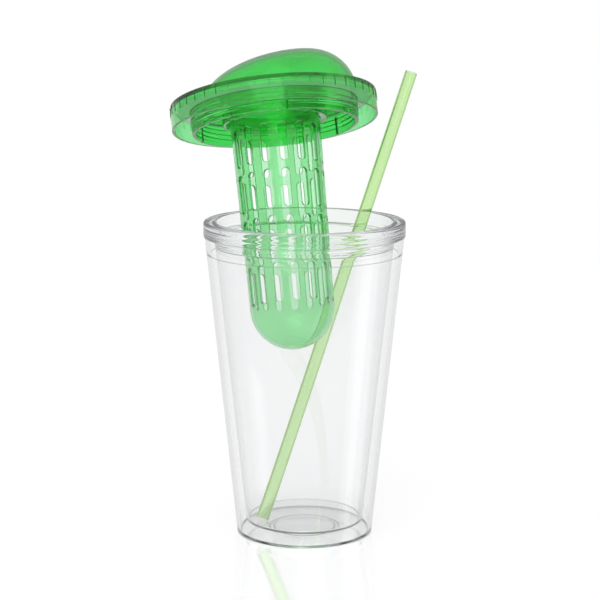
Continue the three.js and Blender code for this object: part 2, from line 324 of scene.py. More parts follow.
def threadTree(ridgeFoot=0.38, ridgeCrest=0.12):
    # a right-handed ridge that climbs round a wall and runs out at both ends, its foot and crest in shares of the pitch
    tree, given = shapeTree("screw thread", ["Wall Radius", "Pitch", "Reach", "Lower End", "Upper End"])
    x, y, z, azimuth, radius = polarParts(tree)
    pitch = given.outputs["Pitch"]
    turns = mathOf(tree, "SUBTRACT", mathOf(tree, "DIVIDE", z, pitch), mathOf(tree, "DIVIDE", azimuth, 2 * math.pi))
    swing = mathOf(tree, "ABSOLUTE", mathOf(tree, "SUBTRACT", mathOf(tree, "FRACT", turns), 0.5))
    ridge = stepOf(tree, swing, ridgeFoot, ridgeCrest)
    lift = endedRidge(tree, given, ridge, z, pitch, given.outputs["Reach"])
    closeTree(tree, given, raisedWall(tree, given, x, y, radius, lift))
    return tree


def gripTree():
    # fine upright ribs, evenly round a wall
    names = ["Wall Radius", "Rib Count", "Rib Width", "Rib Reach", "Lower End", "Upper End"]
    tree, given = shapeTree("grip ribs", names)
    x, y, z, azimuth, radius = polarParts(tree)
    count = given.outputs["Rib Count"]
    share = mathOf(tree, "MULTIPLY", azimuth, mathOf(tree, "DIVIDE", count, 2 * math.pi))
    nearest = mathOf(tree, "SUBTRACT", mathOf(tree, "FRACT", mathOf(tree, "ADD", share, 0.5)), 0.5)
    spacing = mathOf(tree, "DIVIDE", mathOf(tree, "MULTIPLY", radius, 2 * math.pi), count)
    away = mathOf(tree, "ABSOLUTE", mathOf(tree, "MULTIPLY", nearest, spacing))
    half = mathOf(tree, "MULTIPLY", given.outputs["Rib Width"], 0.5)
    footAway, crestAway = (mathOf(tree, "MULTIPLY", half, part) for part in (grip["foot"], grip["crest"]))
    lift = endedRidge(tree, given, stepOf(tree, away, footAway, crestAway), z, half, given.outputs["Rib Reach"])
    closeTree(tree, given, raisedWall(tree, given, x, y, radius, lift))
    return tree


def slotTree(weldReach=0.004):
    # one flat slotted cell (X in degrees, Y in depth), repeated in columns and rows and wrapped into a tube
    names = ["Columns", "Rows", "Row Pitch", "Middle", "First Azimuth", "End Radius", "End Height", "Taper"]
    tree, given = shapeTree("slotted tube", names)
    spots = tree.nodes.new("GeometryNodeMeshGrid")
    count, rows = given.outputs["Columns"], given.outputs["Rows"]
    step = mathOf(tree, "DIVIDE", 360.0, count)
    gaps = mathOf(tree, "SUBTRACT", rows, 1.0)
    joined(tree, spots.inputs["Size X"], mathOf(tree, "SUBTRACT", 360.0, step))
    joined(tree, spots.inputs["Size Y"], mathOf(tree, "MULTIPLY", gaps, given.outputs["Row Pitch"]))
    joined(tree, spots.inputs["Vertices X"], count)
    joined(tree, spots.inputs["Vertices Y"], rows)
    upright = tree.nodes.new("GeometryNodeTransform")
    upright.inputs["Rotation"].default_value = (math.pi / 2, 0, 0)
    tree.links.new(spots.outputs["Mesh"], upright.inputs["Geometry"])
    repeat = tree.nodes.new("GeometryNodeInstanceOnPoints")
    tree.links.new(upright.outputs[0], repeat.inputs["Points"])
    tree.links.new(given.outputs["Geometry"], repeat.inputs["Instance"])
    realize = tree.nodes.new("GeometryNodeRealizeInstances")
    tree.links.new(repeat.outputs[0], realize.inputs[0])
    x, y, z = positionParts(tree)
    height = mathOf(tree, "ADD", z, given.outputs["Middle"])
    rise = mathOf(tree, "SUBTRACT", height, given.outputs["End Height"])
    end = given.outputs["End Radius"]
    below = mathOf(tree, "MINIMUM", rise, 0.0)
    endSquare, belowSquare = mathOf(tree, "MULTIPLY", end, end), mathOf(tree, "MULTIPLY", below, below)
    dome = mathOf(tree, "SQRT", mathOf(tree, "SUBTRACT", endSquare, belowSquare))
    cone = mathOf(tree, "MULTIPLY", mathOf(tree, "MAXIMUM", rise, 0.0), given.outputs["Taper"])
    radius = mathOf(tree, "ADD", mathOf(tree, "ADD", dome, cone), y)
    azimuth = mathOf(tree, "RADIANS", mathOf(tree, "ADD", x, given.outputs["First Azimuth"]))
    wrap = tree.nodes.new("GeometryNodeSetPosition")
    tree.links.new(realize.outputs[0], wrap.inputs["Geometry"])
    spot = vectorOf(tree, mathOf(tree, "MULTIPLY", radius, mathOf(tree, "COSINE", azimuth)),
                    mathOf(tree, "MULTIPLY", radius, mathOf(tree, "SINE", azimuth)), height)
    tree.links.new(spot, wrap.inputs["Position"])
    weld = tree.nodes.new("GeometryNodeMergeByDistance")
    weld.inputs["Distance"].default_value = weldReach
    tree.links.new(wrap.outputs[0], weld.inputs["Geometry"])
    closeTree(tree, given, weld.outputs[0])
    return tree


# materials: moulded plastics that light passes through, and a soft rubber

moulding = {"flowDetail": 2.0, "markDetail": 5.0, "markRange": (0.35, 0.75), "rippleDepth": 0.0004}


def noiseOf(tree, scale, detail):
    spot = tree.nodes.new("ShaderNodeTexCoord")
    noise = tree.nodes.new("ShaderNodeTexNoise")
    noise.inputs["Scale"].default_value = scale
    noise.inputs["Detail"].default_value = detail
    tree.links.new(spot.outputs["Object"], noise.inputs["Vector"])
    return noise.outputs["Fac"]


def bumpOf(tree, height, strength, distance):
    bump = tree.nodes.new("ShaderNodeBump")
    bump.inputs["Strength"].default_value = strength
    bump.inputs["Distance"].default_value = distance
    tree.links.new(height, bump.inputs["Height"])
    return bump.outputs[0]


def mouldedPlastic(name, look):
    # glossy see-through plastic: tint by depth, faint flow ripples and handling marks
    material = bpy.data.materials.new(name)
    material.use_nodes = True
    tree = material.node_tree
    shader = tree.nodes["Principled BSDF"]
    shader.inputs["Base Color"].default_value = (*look["skin"], 1)
    shader.inputs["IOR"].default_value = look["ior"]
    shader.inputs["Transmission Weight"].default_value = look["clearness"]
    marks = noiseOf(tree, look["markScale"], moulding["markDetail"])
    tree.links.new(stepOf(tree, marks, *moulding["markRange"], *look["roughness"]), shader.inputs["Roughness"])
    flow = noiseOf(tree, look["flowScale"], moulding["flowDetail"])
    tree.links.new(bumpOf(tree, flow, look["ripple"], moulding["rippleDepth"]), shader.inputs["Normal"])
    depth = tree.nodes.new("ShaderNodeVolumeAbsorption")
    depth.inputs["Color"].default_value = (*look["tint"], 1)
    depth.inputs["Density"].default_value = look["density"]
    tree.links.new(depth.outputs[0], tree.nodes["Material Output"].inputs["Volume"])
    return material


def softRubber(name, look):
    # satin rubber with a faintly clouded colour and skin
    material = bpy.data.materials.new(name)
    material.use_nodes = True
    tree = material.node_tree
    shader = tree.nodes["Principled BSDF"]
    shader.inputs["IOR"].default_value = look["ior"]
    cloud = noiseOf(tree, look["cloudScale"], look["cloudDetail"])
    shade = tree.nodes.new("ShaderNodeValToRGB")
    shade.color_ramp.elements[0].color = (*look["deep"], 1)
    shade.color_ramp.elements[1].color = (*look["pale"], 1)
    tree.links.new(cloud, shade.inputs["Fac"])
    tree.links.new(shade.outputs["Color"], shader.inputs["Base Color"])
    tree.links.new(stepOf(tree, cloud, *look["cloudRange"], *look["roughness"]), shader.inputs["Roughness"])
    tree.links.new(bumpOf(tree, cloud, look["ripple"], look["rippleDepth"]), shader.inputs["Normal"])
    return material


clearPlastic = mouldedPlastic("clear_plastic", {
    "skin": (1.0, 1.0, 1.0), "clearness": 1.0,
    "tint": (0.44, 0.5, 0.55), "density": 20.0, "ior": 1.49,
    "roughness": (0.0, 0.02), "flowScale": 22.0, "markScale": 140.0, "ripple": 0.006})
greenPlastic = mouldedPlastic("green_plastic", {
    "skin": (0.5, 0.94, 0.56), "clearness": 0.97,
    "tint": (0.02, 0.885, 0.25), "density": 330.0, "ior": 1.49,
    "roughness": (0.01, 0.05), "flowScale": 26.0, "markScale": 160.0, "ripple": 0.02})
paleGreenPlastic = mouldedPlastic("pale_green_plastic", {
    "skin": (0.72, 0.95, 0.74), "clearness": 0.97,
    "tint": (0.02, 0.895, 0.25), "density": 190.0, "ior": 1.49,
    "roughness": (0.01, 0.05), "flowScale": 26.0, "markScale": 160.0, "ripple": 0.02})
strawPlastic = mouldedPlastic("straw_plastic", {
    "skin": (1.0, 1.0, 1.0), "clearness": 1.0,
    "tint": (0.45, 0.85, 0.05), "density": 470.0, "ior": 1.45,
    "roughness": (0.02, 0.07), "flowScale": 40.0, "markScale": 220.0, "ripple": 0.03})
silicone = softRubber("silicone", {
    "pale": (0.92, 0.94, 0.92), "deep": (0.84, 0.87, 0.84), "ior": 1.41, "roughness": (0.3, 0.45),
    "cloudScale": 180.0, "cloudDetail": 4.0, "cloudRange": (0.3, 0.7), "ripple": 0.08, "rippleDepth": 0.0002})
print("materials ready")


# the cup: an outer shell and a liner that hangs in it by its rim

cup = {
    "height": 158.0, "rimRadius": 50.0, "rimHeight": 7.5, "rimWidth": 6.5, "rimRounding": 1.4,
    "rimOverhang": 0.6, "baseRadius": 34.2, "baseRounding": 0.6, "outerWall": 1.8, "outerFloor": 1.0,
    "airGap": 2.9, "floorGap": 5.0, "linerWall": 1.0, "linerFloor": 0.8, "linerRounding": 0.8,
    "bandDepth": 15.8, "boreDepth": 12.0, "boreStep": 0.3, "neckFlare": 1.3, "seam": 0.06,
    "grooveRadius": 16.5, "grooveWidth": 2.6, "grooveDepth": 0.5, "grooveRounding": 0.3, "seamRounding": 0.05,
    "neckRounding": 1.5, "underRimRounding": 0.4, "stepRounding": 0.15, "plainTop": 2.0, "plainFoot": 0.4,
    "threadTop": 2.2, "threadFoot": 0.5, "sides": 192}
thread = {"pitch": 2.4, "boreReach": 0.25, "plugReach": 0.4, "rowsPerPitch": 10}

mouthRadius = cup["rimRadius"] - cup["rimWidth"]
rimBottom = cup["height"] - cup["rimHeight"]
bandBottom = cup["height"] - cup["bandDepth"]
outerTop = bandBottom - cup["seam"]
outerSlope = (cup["rimRadius"] - cup["rimOverhang"] - cup["baseRadius"]) / rimBottom
linerBottom = cup["outerFloor"] + cup["floorGap"]
floorTop = linerBottom + cup["linerFloor"]
boreBottom = cup["height"] - cup["boreDepth"]
linerFoot = cup["baseRadius"] - cup["outerWall"] - cup["airGap"] - cup["linerWall"]
linerHead = mouthRadius - cup["boreStep"]
linerTop = boreBottom - cup["boreStep"]
linerSlope = (linerHead - linerFoot) / (linerTop - linerBottom)


def outerAt(z):
    return cup["baseRadius"] + outerSlope * z


def linerAt(z):
    return linerFoot + linerSlope * (z - linerBottom)


def threadRows(radius, start, end):
    # rows close enough to carry the thread
    count = round(abs(end - start) / thread["pitch"] * thread["rowsPerPitch"])
    return [Vector((radius, start + (end - start) * k / count)) for k in range(1, count + 1)]


def outerShell():
    inner = cup["grooveRadius"] - cup["grooveWidth"] / 2
    outer = cup["grooveRadius"] + cup["grooveWidth"] / 2
    depth, soft = cup["grooveDepth"], cup["grooveRounding"]
    outline = rounded([
        (0, 0), (inner, 0, soft), (inner + depth / 2, depth, soft), (outer - depth / 2, depth, soft),
        (outer, 0, soft), (cup["baseRadius"], 0, cup["baseRounding"]),
        (outerAt(outerTop), outerTop, cup["seamRounding"]),
        (outerAt(outerTop) - cup["outerWall"], outerTop, cup["seamRounding"]),
        (outerAt(cup["outerFloor"]) - cup["outerWall"], cup["outerFloor"], cup["baseRounding"]),
        (0, cup["outerFloor"])])
    mesh = turnedMesh("outer_shell", supported(outline), evenAngles(cup["sides"]))
    finished(placedObject("outer_shell", mesh), clearPlastic, cupPlace, "cup", "outer_cup")


def liner():
    neckLow = linerAt(boreBottom) + cup["linerWall"]
    top, bottom = cup["height"] - cup["plainTop"], boreBottom + cup["plainFoot"]
    lower = rounded([
        (0, linerBottom), (linerFoot + cup["linerWall"], linerBottom, cup["linerRounding"]),
        (neckLow, boreBottom, cup["neckRounding"]),
        (neckLow + cup["neckFlare"], rimBottom, cup["underRimRounding"]),
        (outerAt(rimBottom) - cup["outerWall"], rimBottom, cup["underRimRounding"]),
        (outerAt(bandBottom) - cup["outerWall"], bandBottom, cup["seamRounding"]),
        (outerAt(bandBottom), bandBottom, cup["seamRounding"]),
        (outerAt(rimBottom), rimBottom, cup["stepRounding"]),
        (cup["rimRadius"], rimBottom, cup["rimRounding"] / 2),
        (cup["rimRadius"], cup["height"], cup["rimRounding"]),
        (mouthRadius, cup["height"], cup["rimRounding"]), (mouthRadius, top)])
    upper = rounded([
        (mouthRadius, bottom), (mouthRadius, boreBottom, cup["stepRounding"]),
        (linerHead, linerTop, cup["stepRounding"]),
        (linerAt(floorTop), floorTop, cup["linerRounding"]), (0, floorTop)])
    rows = supported(lower) + threadRows(mouthRadius, top, bottom) + supported(upper)[1:]
    obj = placedObject("liner", turnedMesh("liner", rows, evenAngles(cup["sides"])))
    shaped(obj, threadTree(), {
        "Wall Radius": mouthRadius, "Pitch": thread["pitch"], "Reach": -thread["boreReach"],
        "Lower End": boreBottom + cup["threadFoot"], "Upper End": cup["height"] - cup["threadTop"]}, clearPlastic)
    finished(obj, clearPlastic, cupPlace, "cup", "inner_cup")


outerShell()
liner()
print("cup done")


# the lid: cover with skirt and lopsided dome, screw plug with the twist-lock socket, seal and straw grommet

lid = {
    "skirtInner": 50.5, "skirtWall": 1.5, "skirtHeight": 12.6, "skirtRounding": 1.0, "plate": 1.8,
    "domeRadius": 39.0, "domeHeight": 22.9, "domeOffset": 3.8, "domeShift": 16.2, "domeWall": 2.4,
    "domeFillet": 1.4, "filletRows": 6, "filletLead": 0.15, "domeRows": 26, "seatGap": 0.3, "lipRounding": 0.25,
    "plainFoot": 0.8, "shoulderLead": 5.0, "cutPast": 1.0, "columnLift": 0.01, "pocketDip": 0.02, "weld": 0.0005}
grip = {
    "count": 48, "height": 4.8, "width": 0.6, "reach": 0.35, "between": 5, "margin": 0.3,
    "foot": 1.2, "slope": 0.85, "crest": 0.5}  # foot, slope and crest in shares of half the width
plug = {
    "radius": 42.0, "wall": 1.8, "plate": 1.7, "depth": 2.5, "collarInner": 24.8, "collarWall": 1.6,
    "collarHeight": 8.0, "ledgeInner": 23.2, "ledgeSpan": 50.0, "ledgeThickness": 1.8, "stopSpan": 4.5,
    "lugThickness": 1.8, "locks": 3, "slits": 3, "slitWidth": 1.2, "slitHeight": 9.0, "slitAzimuth": -80.0,
    "slitIn": 1.5, "slitPast": 2.0, "slitSteps": 2, "stopSink": 0.4, "stopSteps": 4, "nudge": 0.02,
    "edgeRounding": 0.3, "collarRounding": (0.25, 0.5), "socketRounding": 0.4, "footRounding": 0.7,
    "plainTop": 0.6, "plainFoot": 1.2, "threadTop": 0.6, "threadFoot": 1.3, "sides": 192}
port = {"azimuth": 60.0, "bore": 5.15, "pocket": 7.95}
grommet = {
    "hole": 3.45, "wall": 1.4, "flange": 1.4, "flangeRadius": 7.35, "footRounding": 0.4, "underRounding": 0.2,
    "flangeRounding": 0.7, "mouthRounding": 0.6, "sides": 72}
seal = {"thickness": 2.0, "outer": 48.4, "edgeRounding": 0.3, "footRounding": 0.9}

skirtOuter = lid["skirtInner"] + lid["skirtWall"]
plateBottom = lid["skirtHeight"] - lid["plate"]
plugTop = plateBottom - lid["seatGap"]
socketTop = plugTop - plug["plate"]
collarOuter = plug["collarInner"] + plug["collarWall"]
plugInner = plug["radius"] - plug["wall"]
ledgeBottom = socketTop - plug["collarHeight"]
ledgeTop = ledgeBottom + plug["ledgeThickness"]
portOut = (collarOuter + plugInner) / 2
portX = portOut * math.cos(math.radians(port["azimuth"]))
portY = portOut * math.sin(math.radians(port["azimuth"]))


def domeTop(x, y):
    # height of the dome over a point of the lid's plan
    awayX, awayY = x - lid["domeOffset"] - lid["domeShift"], y
    a = awayX ** 2 + awayY ** 2
    b = awayX * lid["domeShift"]
    c = lid["domeShift"] ** 2 - lid["domeRadius"] ** 2
    share = min(a / (math.sqrt(b * b - a * c) - b), 1)
    return lid["skirtHeight"] + lid["domeHeight"] * math.sqrt(1 - share * share)


def domeRows(radius, height, start=0.0):
    # rows of (radius, height, centre) from the foot to the peak
    rows = []
    for k in range(lid["domeRows"] + 1):
        a = math.pi / 2 * (start + (1 - start) * k / lid["domeRows"])
        shrink = 1 - math.cos(a)
        ringRadius = radius * math.cos(a) if k < lid["domeRows"] else 0
        centre = lid["domeOffset"] + lid["domeShift"] * shrink
        rows.append((ringRadius, lid["skirtHeight"] + height * math.sin(a), centre))
    return rows


def gripAngles():
    # close together over each rib's edges, wider between the ribs
    half = grip["width"] / 2 / skirtOuter
    step = 2 * math.pi / grip["count"]
    foot, slope, crest = (grip[name] * half for name in ("foot", "slope", "crest"))
    local = [-foot, -slope, -crest, crest, slope, foot]
    gap = step - 2 * foot
    local += [foot + gap * k / (grip["between"] + 1) for k in range(1, grip["between"] + 1)]
    return [step * i + a for i in range(grip["count"]) for a in local]


def lidCover():
    landTop = domeTop(portX, portY)
    ribTop = lid["skirtHeight"] - lid["skirtRounding"]
    ribBottom = ribTop - grip["height"]
    half, margin = grip["width"] / 2, grip["margin"]
    wallRows = [
        ribBottom - margin, ribBottom, ribBottom + half / 2, ribBottom + half, ribBottom + half + margin,
        ribTop - half - margin, ribTop - half, ribTop - half / 2]
    skirt = supported(rounded([
        (0, plateBottom), (lid["skirtInner"], plateBottom, lid["skirtRounding"]),
        (lid["skirtInner"], 0, lid["lipRounding"]), (skirtOuter, 0, lid["skirtRounding"] / 2),
        (skirtOuter, lid["plainFoot"])]))
    wall = [Vector((skirtOuter, z)) for z in wallRows]
    footEnd = lid["domeRadius"] + lid["domeFillet"]
    shoulder = supported(rounded([
        (skirtOuter, wallRows[-1]), (skirtOuter, lid["skirtHeight"], lid["skirtRounding"]),
        (footEnd + lid["shoulderLead"], lid["skirtHeight"])]))[1:]
    start = 2 / math.pi * math.asin(lid["domeFillet"] / lid["domeHeight"])
    dome = domeRows(lid["domeRadius"], lid["domeHeight"], start)
    fillet = []
    for k in range(lid["filletRows"] + 1):
        t = k / lid["filletRows"]
        r = footEnd * (1 - t) ** 2 + dome[0][0] * (2 * t * (1 - t) + t * t)
        z = lid["skirtHeight"] * (1 - t * t) + dome[0][1] * t * t
        fillet.append((r, z, lid["domeOffset"]))
    flat = [(row[0], row[1], 0) for row in skirt + wall + shoulder]
    lead = (footEnd + lid["filletLead"], lid["skirtHeight"], lid["domeOffset"])
    rows = flat + [lead] + fillet + dome[1:]
    mesh = turnedMesh("lid_cover_shell", rows, gripAngles(), centres=[row[2] for row in rows])
    obj = placedObject("lid_cover_shell", mesh)
    shaped(obj, gripTree(), {
        "Wall Radius": skirtOuter, "Rib Count": grip["count"], "Rib Width": grip["width"], "Rib Reach": grip["reach"],
        "Lower End": ribBottom, "Upper End": ribTop}, greenPlastic)
    peak = lid["skirtHeight"] + lid["domeHeight"]
    column = port["pocket"] + lid["domeWall"]
    inner = domeRows(lid["domeRadius"] - lid["domeWall"], lid["domeHeight"] - lid["domeWall"])
    foot = plateBottom - lid["plate"] / 2
    rows = [(0, foot, lid["domeOffset"]), (inner[0][0], foot, lid["domeOffset"])] + inner
    hollow = turnedMesh("hollow", rows, evenAngles(plug["sides"]), centres=[row[2] for row in rows])
    hollowObj = placedObject("hollow", hollow)
    below, past = plateBottom - lid["plate"], lid["cutPast"]
    # the column's lift and the pocket's dip keep faces from lying in one plane
    combined(hollowObj, [postMesh("mantle", portX, portY, column, below, peak)], "DIFFERENCE")
    combined(obj, [postMesh("column", portX, portY, column, plateBottom + lid["columnLift"], landTop)], "UNION")
    combined(obj, [
        hollowObj.data.copy(),
        postMesh("pocket", portX, portY, port["pocket"], landTop - lid["pocketDip"], peak + past),
        postMesh("bore", portX, portY, port["bore"], below, landTop + past)], "DIFFERENCE")
    bpy.data.objects.remove(hollowObj)
    facedOut(obj.data, lid["weld"])
    finished(obj, greenPlastic, lidPlace, "lid", "lid_cover")


def screwPlug():
    top, bottom = plugTop - plug["plainTop"], -plug["depth"] + plug["plainFoot"]
    innerEdge, outerEdge = plug["collarRounding"]
    lower = supported(rounded([
        (0, socketTop), (plug["collarInner"], socketTop, plug["edgeRounding"]),
        (plug["collarInner"], ledgeBottom, innerEdge), (collarOuter, ledgeBottom, outerEdge),
        (collarOuter, socketTop, plug["socketRounding"]), (plugInner, socketTop, plug["socketRounding"]),
        (plugInner, -plug["depth"], plug["socketRounding"]),
        (plug["radius"], -plug["depth"], plug["footRounding"]), (plug["radius"], bottom)]))
    upper = supported(rounded([
        (plug["radius"], top), (plug["radius"], plugTop, plug["edgeRounding"]), (0, plugTop)]))[1:]
    rows = lower + threadRows(plug["radius"], bottom, top) + upper
    obj = placedObject("screw_plug", turnedMesh("screw_plug", rows, evenAngles(plug["sides"])))
    shaped(obj, threadTree(), {
        "Wall Radius": plug["radius"], "Pitch": thread["pitch"], "Reach": thread["plugReach"],
        "Lower End": -plug["depth"] + plug["threadFoot"], "Upper End": socketTop - plug["threadTop"]}, greenPlastic)
    stopTop = ledgeTop + lid["seatGap"] + plug["lugThickness"]
    reach = plug["collarInner"] + plug["collarWall"] / 2
    nudge, past = plug["nudge"], lid["cutPast"]  # the nudge keeps the blocks' faces from lying in one plane
    locks = []
    for k in range(plug["locks"]):
        start = 360 / plug["locks"] * k - plug["ledgeSpan"] / 2
        locks.append(ringBlock(
            "ledge", plug["ledgeInner"], reach, start, start + plug["ledgeSpan"], ledgeBottom + nudge, ledgeTop))
        locks.append(ringBlock(
            "stop", plug["ledgeInner"] + nudge, reach + nudge / 2, start + nudge, start + plug["stopSpan"],
            ledgeTop - plug["stopSink"], stopTop, plug["stopSteps"]))
    combined(obj, locks, "UNION")
    half = math.degrees(plug["slitWidth"] / 2 / plug["radius"])
    cuts = []
    for k in range(plug["slits"]):
        middle = plug["slitAzimuth"] + 360 / plug["slits"] * k
        cuts.append(ringBlock(
            "slit", plugInner - plug["slitIn"], plug["radius"] + plug["slitPast"], middle - half, middle + half,
            -plug["depth"] - plug["slitPast"], -plug["depth"] + plug["slitHeight"], plug["slitSteps"]))
    cuts.append(postMesh("passage", portX, portY, port["bore"], socketTop - past, plugTop + past))
    combined(obj, cuts, "DIFFERENCE")
    finished(obj, greenPlastic, lidPlace, "lid", "lid_plug")


def rimSeal():
    inner = plug["radius"] + lid["seatGap"]
    low = plugTop - seal["thickness"]
    outline = rounded([
        (inner, low, seal["edgeRounding"]), (seal["outer"], low, seal["footRounding"]),
        (seal["outer"], plugTop, seal["edgeRounding"]), (inner, plugTop, seal["edgeRounding"])])
    mesh = turnedMesh("rim_seal", supported(outline), evenAngles(plug["sides"]), ring=True)
    finished(placedObject("rim_seal", mesh), silicone, lidPlace, "seal", "lid_gasket")


def strawGrommet():
    land = domeTop(portX, portY) + lid["seatGap"]
    hole, sleeve, flange = grommet["hole"], grommet["hole"] + grommet["wall"], grommet["flangeRadius"]
    foot, top = lid["skirtHeight"], land + grommet["flange"]
    outline = rounded([
        (hole, foot, grommet["footRounding"]), (sleeve, foot, grommet["footRounding"]), (sleeve, land),
        (flange, land, grommet["underRounding"]), (flange, top, grommet["flangeRounding"]),
        (hole, top, grommet["mouthRounding"])])
    mesh = turnedMesh("grommet", supported(outline), evenAngles(grommet["sides"]), ring=True)
    mesh.transform(Matrix.Translation((portX, portY, 0)))
    finished(placedObject("grommet", mesh), silicone, lidPlace, "lid", "straw_grommet")


lidCover()
screwPlug()
rimSeal()
strawGrommet()
print("lid done")


# the infuser: a slotted tube with a round end and three locking lugs

infuser = {
    "length": 114.0, "topRadius": 22.8, "endRadius": 21.0, "wall": 1.6, "rimRounding": 0.5,
    "columns": 15, "rows": 4, "slotWidth": 3.9, "slotLength": 19.0, "slotPitch": 23.0, "slotTop": 4.0,
    "slotAzimuth": -104.5, "slotRounding": 0.35, "lugs": 3, "lugSpan": 36.0, "lugReach": 1.6, "lugThickness": 1.8,
    "acrossSteps": 10, "alongSteps": 14, "bendSteps": 3, "slotMargin": 0.15, "endRows": 26, "weld": 0.01}

infuserTop = socketTop - lid["seatGap"]
endHeight = infuser["endRadius"] - infuser["length"]
infuserTaper = (infuser["topRadius"] - infuser["endRadius"]) / (infuserTop - endHeight)


def infuserAt(z):
    below = min(z - endHeight, 0)
    return math.sqrt(infuser["endRadius"] ** 2 - below ** 2) + infuserTaper * max(z - endHeight, 0)


def slotCell():
    # one cell of the wall round a slot: X in degrees, Y from 0 outside to minus the wall inside, Z in millimetres
    perMillimetre = math.degrees(1 / (infuser["endRadius"] + infuser["topRadius"]) * 2)
    halfWide, halfTall = 180 / infuser["columns"], infuser["slotPitch"] / 2
    half = infuser["slotWidth"] / 2
    straight = infuser["slotLength"] / 2 - half
    across, along = infuser["acrossSteps"], infuser["alongSteps"]
    edge, hole = [], []
    for k in range(along):
        t = k / along
        edge.append((halfWide, halfTall * (2 * t - 1)))
        hole.append(((half, straight * (2 * t - 1)), (1, 0)))
    for k in range(across):
        t = k / across
        edge.append((halfWide * (1 - 2 * t), halfTall))
        out = (math.cos(math.pi * t), math.sin(math.pi * t))
        hole.append(((half * out[0], straight + half * out[1]), out))
    edge += [(-x, -z) for x, z in edge]
    hole += [((-p[0], -p[1]), (-n[0], -n[1])) for p, n in hole]
    soft, wall = infuser["slotRounding"], infuser["wall"]
    turns = [math.pi / 2 * k / infuser["bendSteps"] for k in range(infuser["bendSteps"] + 1)]
    bend = [(1 - math.sin(a), 1 - math.cos(a)) for a in turns]
    section = [(blend, soft + infuser["slotMargin"], 0) for blend in (1, 0.5, 0)]
    section += [(0, soft * o, soft * d) for o, d in bend]
    section += [(b, o, wall - d) for b, o, d in reversed(section)]
    points, faces, around = [], [], len(edge)
    for blend, off, depth in section:
        for (ex, ez), ((hx, hz), (nx, nz)) in zip(edge, hole):
            px, pz = (hx + nx * off) * perMillimetre, hz + nz * off
            points.append((px + (ex - px) * blend, -depth, pz + (ez - pz) * blend))
    for i in range(len(section) - 1):
        for j in range(around):
            k = (j + 1) % around
            faces.append((i * around + j, i * around + k, (i + 1) * around + k, (i + 1) * around + j))
    mesh = bpy.data.meshes.new("slot_cell")
    mesh.from_pydata(points, [], faces)
    return mesh


def infuserTube():
    pitch, rows = infuser["slotPitch"], infuser["rows"]
    upperEnd = -infuser["slotTop"] + (pitch - infuser["slotLength"]) / 2
    lowerEnd = upperEnd - pitch * rows
    middle = (upperEnd + lowerEnd) / 2
    obj = placedObject("infuser_tube", slotCell())
    spread = 360 - 360 / infuser["columns"]
    shaped(obj, slotTree(), {
        "Columns": infuser["columns"], "Rows": rows, "Row Pitch": pitch, "Middle": middle,
        "First Azimuth": infuser["slotAzimuth"] + spread / 2, "End Radius": infuser["endRadius"],
        "End Height": endHeight, "Taper": infuserTaper}, paleGreenPlastic)
    count = infuser["columns"] * infuser["acrossSteps"]
    angles = evenAngles(count, infuser["slotAzimuth"] - 180 / infuser["columns"])
    wall = infuser["wall"]
    collar = supported(rounded([
        (infuserAt(upperEnd), upperEnd), (infuserAt(infuserTop), infuserTop, infuser["rimRounding"]),
        (infuserAt(infuserTop) - wall, infuserTop, infuser["rimRounding"]), (infuserAt(upperEnd) - wall, upperEnd)]))
    outerEnd, innerEnd = [], []
    for k in range(infuser["endRows"] + 1):
        share = k / infuser["endRows"]
        for radius, rowsOut in ((infuser["endRadius"], outerEnd), (infuser["endRadius"] - wall, innerEnd)):
            last = math.asin((lowerEnd - endHeight) / radius)
            a = -math.pi / 2 + (last + math.pi / 2) * share
            rowsOut.append((radius * math.cos(a) if k else 0, endHeight + radius * math.sin(a)))
    outerEnd[-1] = (infuserAt(lowerEnd), lowerEnd)
    innerEnd[-1] = (infuserAt(lowerEnd) - wall, lowerEnd)
    joinedMesh = bmesh.new()
    joinedMesh.from_mesh(obj.data)
    for part in (collar, outerEnd, innerEnd):
        extra = turnedMesh("extra", part, angles)
        joinedMesh.from_mesh(extra)
        bpy.data.meshes.remove(extra)
    bmesh.ops.remove_doubles(joinedMesh, verts=joinedMesh.verts, dist=infuser["weld"])
    bmesh.ops.recalc_face_normals(joinedMesh, faces=joinedMesh.faces)
    joinedMesh.to_mesh(obj.data)
    joinedMesh.free()
    lugLow = ledgeTop + lid["seatGap"]
    inner, outer = infuser["topRadius"] - wall / 2, infuser["topRadius"] + infuser["lugReach"]
    lugs = []
    for k in range(infuser["lugs"]):
        start = 360 / infuser["lugs"] * k - infuser["lugSpan"] / 2
        lugs.append(ringBlock(
            "lug", inner, outer, start, start + infuser["lugSpan"], lugLow, lugLow + infuser["lugThickness"]))
    combined(obj, lugs, "UNION")
    finished(obj, paleGreenPlastic, lidPlace, "infuser", "infuser_basket")


infuserTube()
print("infuser done")


# the straw

straw = {"radius": 3.15, "wall": 0.9, "length": 238.0, "rounding": 0.15, "roundingSteps": 3, "sides": 64}


def strawTube():
    inner, outer = straw["radius"] - straw["wall"], straw["radius"]
    length, soft = straw["length"], straw["rounding"]
    outline = rounded(
        [(inner, 0, soft), (outer, 0, soft), (outer, length, soft), (inner, length, soft)], straw["roundingSteps"])
    mesh = turnedMesh("straw_tube", supported(outline), evenAngles(straw["sides"]), ring=True)
    obj = placedObject("straw_tube", mesh)
    finished(obj, strawPlastic, placeOfStraw(length), "drinking_straw", "straw")


strawTube()
print("straw done")


# floor, light and camera

